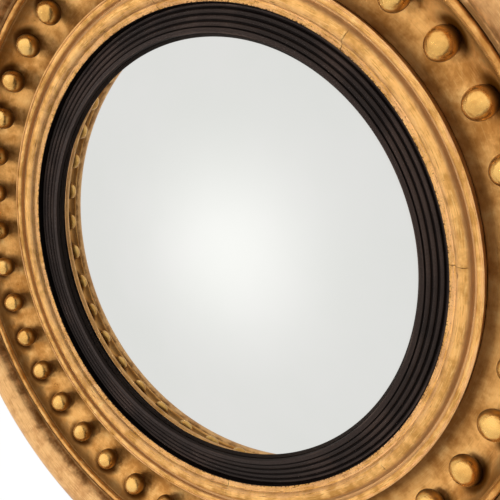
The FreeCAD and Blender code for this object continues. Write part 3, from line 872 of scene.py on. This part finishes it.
def timber(name, look, segments=None):
    f = Finish(name)
    along, across = f.z, f.x
    if segments:  # the grain of each segment runs straight across its own sector
        step, first = math.tau / segments["count"], math.radians(segments["first"])
        which = ((f.angle - first) / step).math("FLOOR")
        middle = (which + 0.5) * step + first
        cosine, sine = middle.math("COSINE"), middle.math("SINE")
        along, across = f.z * cosine - f.x * sine, f.x * cosine + f.z * sine
        across = across + which * grain["nextSegment"]
    place = f.combine(along * grain["along"], across * grain["across"], f.out * grain["across"])
    sway = f.noise(place, scale=1.0, detail=3.0, rough=0.55, depth=look["seed"])
    rings = across * grain["rings"] + f.out * grain["ringsOut"] + sway * grain["sway"]
    rings = (rings.math("SINE") + 1) * 0.5
    fine = grain["poresAcross"]
    place = f.combine(along * grain["poresAlong"], across * fine, f.out * fine)
    pores = f.noise(place, scale=1.0, detail=2.0, rough=0.6, depth=2.0)
    stain = f.noise(f.place, scale=11.0, detail=4.0, rough=0.6, depth=look["seed"] + 2)
    figure = rings * look["ringShare"] + sway * look["swayShare"]
    colour = f.mix(figure, look["pale"], look["dark"])
    colour = f.mix(pores.ramp(*look["pored"]) * look["poreAmount"], colour, look["pore"])
    colour = f.mix(stain.ramp(*look["soiled"]) * look["grime"], colour, look["soil"])
    height = rings * look["ringDepth"] + pores * look["poreDepth"]
    rough = look["rough"] + (stain - 0.5) * look["roughStain"] - rings * look["ringGloss"]
    return f.finish(
        Base_Color=colour, Roughness=rough.clamped(), Normal=f.bump(height, look["relief"] * mm),
    )


pine = {
    "pale": paint(186, 146, 98), "dark": paint(146, 102, 60), "pore": paint(96, 64, 36),
    "soil": paint(84, 60, 38), "soiled": (0.45, 0.8), "grime": 0.55, "seed": 3.0,
    "ringShare": 0.65, "swayShare": 0.35, "pored": (0.58, 0.72), "poreAmount": 0.5,
    "ringDepth": 0.3, "poreDepth": 0.5, "relief": 0.15,
    "rough": 0.72, "roughStain": 0.2, "ringGloss": 0.06,
}
rearPine = timber("rearPine", pine, {"count": 8, "first": 0.0})
middlePine = timber("middlePine", pine | {"seed": 6.0}, {"count": 8, "first": 22.5})
dress("rear_ring_segments", rearPine)
dress("middle_ring_segments", middlePine)
dress("glazing_blocks", timber("blockPine", pine | {"pale": paint(204, 168, 120), "seed": 8.0}))
boardLook = pine | {
    "pale": paint(128, 92, 58), "dark": paint(98, 68, 42), "pore": paint(62, 42, 26),
    "soil": paint(60, 44, 30), "grime": 0.5, "relief": 0.08, "seed": 11.0,
}
dress("backboard", timber("stainedBoard", boardLook))


def oldMetal(name, look):
    f = Finish(name)
    fine = look["scratchAcross"]
    place = f.combine(f.x * look["scratchAlong"], f.y * fine, f.z * fine)
    haze = f.noise(f.place, scale=160.0, detail=4.0, rough=0.6, depth=2.0)
    scratch = f.noise(place, scale=1.0, detail=2.0, rough=0.6, depth=5.0)
    spots = f.noise(f.place, scale=900.0, detail=3.0, rough=0.6, depth=7.0).ramp(*look["spotted"])
    colour = f.mix(haze.ramp(*look["hazed"]), look["bright"], look["dull"])
    colour = f.mix(spots * look["spotAmount"], colour, look["spot"])
    rough = look["rough"] + (haze - 0.5) * look["roughHaze"] + spots * look["roughSpot"]
    return f.finish(
        Base_Color=colour, Metallic=look["metal"], Roughness=rough.clamped(),
        Normal=f.bump(scratch + spots, look["relief"] * mm),
    )


brassLook = {
    "bright": paint(214, 176, 104), "dull": paint(166, 126, 68), "spot": paint(92, 66, 36),
    "hazed": (0.35, 0.65), "spotted": (0.6, 0.7), "spotAmount": 0.6,
    "metal": 1.0, "rough": 0.30, "roughHaze": 0.25, "roughSpot": 0.25,
    "relief": 0.03, "scratchAlong": 300.0, "scratchAcross": 2500.0,
}
steelLook = brassLook | {
    "bright": paint(150, 146, 140), "dull": paint(112, 104, 96), "spot": paint(92, 60, 40),
    "metal": 0.9, "rough": 0.45,
}
brass, steel = oldMetal("agedBrass", brassLook), oldMetal("dullSteel", steelLook)
for side in ("left", "right"):
    dress(side + "_hanger_strap", brass)
    dress(side + "_hanger_ring", brass)
dress("hanger_screws", brass)
dress("backboard_screws", steel)
dress("carcass_screws", steel)


def softStuff(name, look):
    f = Finish(name)
    fuzz = f.noise(f.place, scale=look["grain"], detail=4.0, rough=0.7, depth=1.0)
    colour = f.mix(fuzz.ramp(*look["fuzzed"]), look["dark"], look["pale"])
    return f.finish(
        Base_Color=colour, Roughness=look["rough"], Normal=f.bump(fuzz, look["relief"] * mm),
    )


felt = {
    "pale": paint(52, 46, 42), "dark": paint(34, 30, 28), "fuzzed": (0.35, 0.65), "grain": 1800.0,
    "rough": 0.95, "relief": 0.2,
}
rubber = felt | {
    "pale": paint(58, 54, 50), "dark": paint(38, 35, 33), "grain": 700.0, "rough": 0.7,
}
dress("felt_strip", softStuff("darkFelt", felt))
dress("wall_bumpers", softStuff("bumperRubber", rubber))
print("finishes done")


# ---- floor, light and camera

studio = {
    "floorHalf": 6.0, "floorDrop": 0.42, "floorTones": (0.86, 0.9), "floorRough": 0.8,
    "floorGlow": 1.1, "floorShare": 0.8,  # of the glow, where the camera sees the floor
    # what rough pieces see: one bright side, brighter upwards, a dim one, and some light behind
    "bright": (-0.39, -0.92, 0.05), "brightEdge": (-0.02, 0.22), "shadeLevel": 0.05, "fill": 0.22,
    "riseSpan": (-0.6, 0.6), "riseLevel": 0.9, "riseGain": 0.4, "deepShade": 0.35,
    "behindEdge": (0.4, 0.8), "behindLevel": 0.85,
    # what the glass sees: an even level with a soft glow in it
    "glow": (-0.416, -0.885, -0.210), "glowSpread": 0.068, "glassLevel": 0.86, "glowLevel": 0.25,
}
white = (1, 1, 1, 1)
lamps = {  # place and size in m, power in W
    "keyLamp": {"place": (-1.12, -1.52, 0.0), "size": 0.6, "power": 38.0},
    "rimLamp": {"place": (0.9, -1.5, 1.3), "size": 1.4, "power": 3.0},
    "backLamp": {"place": (0.9, 1.6, 0.7), "size": 1.0, "power": 34.0},
}


def makeFloor():
    mesh = bpy.data.meshes.new("floor")
    half, low = studio["floorHalf"], -studio["floorDrop"]
    corners = [(-half, -half, low), (half, -half, low), (half, half, low), (-half, half, low)]
    mesh.from_pydata(corners, [], [(0, 1, 2, 3)])
    floor = bpy.data.objects.new("floor", mesh)
    bpy.context.scene.collection.objects.link(floor)
    f = Finish("paleFloor")
    tone = f.noise(f.place, scale=30.0, detail=3.0, rough=0.6, depth=1.0)
    first, second = [(level, level, level, 1) for level in studio["floorTones"]]
    f.finish(Base_Color=f.mix(tone, first, second), Roughness=studio["floorRough"])
    path = f.node("ShaderNodeLightPath", out="Is Camera Ray")
    seen = path.most(path.also("Is Glossy Ray")).most(path.also("Is Transmission Ray"))
    glow = f.node("ShaderNodeEmission", {}, {"Color": white, "Strength": studio["floorGlow"]})
    own = Strand(f, f.shader.outputs[0])
    both = f.node("ShaderNodeMixShader", {}, {0: seen * studio["floorShare"], 1: own, 2: glow})
    end = f.tree.nodes["Material Output"]
    f.tree.links.new(both.socket, end.inputs["Surface"])
    mesh.materials.append(f.material)
    floor.visible_glossy = False


def makeWorld():
    world = bpy.data.worlds.new("studio")
    bpy.context.scene.world = world
    world.use_nodes = True
    b = Bench(world.node_tree)
    toward = b.node("ShaderNodeTexCoord", out="Generated")
    path = b.node("ShaderNodeLightPath", out="Is Camera Ray")
    gloss = path.also("Is Glossy Ray").most(path.also("Is Transmission Ray"))
    glow = b.vector("DOT_PRODUCT", toward, studio["glow"]) - 1
    glow = (glow / studio["glowSpread"]).math("EXPONENT")
    pane = glow * studio["glowLevel"] + studio["glassLevel"]
    rise = b.node("ShaderNodeSeparateXYZ", {}, {0: toward}, "Z")
    behind = rise.also("Y").ramp(*studio["behindEdge"]) * studio["behindLevel"]
    side = b.vector("DOT_PRODUCT", toward, studio["bright"]).ramp(*studio["brightEdge"])
    side = side * (rise.ramp(*studio["riseSpan"]) * studio["riseGain"] + studio["riseLevel"])
    side = side * (1 - studio["shadeLevel"]) + studio["shadeLevel"]
    side = side.most(behind)
    deep = (path.also("Glossy Depth") - 1).clamped()  # 1 for gilt that is seen in glass or other gilt
    side = side * (1 - deep * studio["deepShade"])
    around = gloss * side + (1 - gloss) * side * studio["fill"]
    mirrored = path.also("Is Singular Ray")  # true only of what the glass shows
    around = mirrored * pane + (1 - mirrored) * around
    level = path + (1 - path) * around
    back = world.node_tree.nodes["Background"]
    back.inputs["Color"].default_value = white
    world.node_tree.links.new(level.socket, back.inputs["Strength"])


def makeLamp(name, look):
    lamp = bpy.data.lights.new(name, "AREA")
    lamp.shape, lamp.size, lamp.energy = "DISK", look["size"], look["power"]
    holder = bpy.data.objects.new(name, lamp)
    bpy.context.scene.collection.objects.link(holder)
    holder.location = look["place"]
    holder.rotation_euler = (-Vector(look["place"])).to_track_quat("-Z", "Y").to_euler()
    holder.visible_glossy = False


makeFloor()
makeWorld()
for name, look in lamps.items():
    makeLamp(name, look)

viewpoint = {
    "place": (0.250314, -0.365658, 0.130804), "toward": (-0.4939, 0.8258, -0.2722),
    "roll": 1.66, "focal": 37.49, "sensor": 36.0, "near": 0.01,
}
camera = bpy.data.cameras.new("camera")
camera.lens, camera.sensor_width = viewpoint["focal"], viewpoint["sensor"]
camera.clip_start = viewpoint["near"]
eye = bpy.data.objects.new("camera", camera)
bpy.context.scene.collection.objects.link(eye)
eye.location = viewpoint["place"]
aim = Vector(viewpoint["toward"]).to_track_quat("-Z", "Y")
roll = Quaternion((0, 0, 1), math.radians(viewpoint["roll"]))
eye.rotation_euler = (aim @ roll).to_euler()
bpy.context.scene.camera = eye
bpy.context.scene.view_settings.view_transform = "Standard"
print("studio ready")
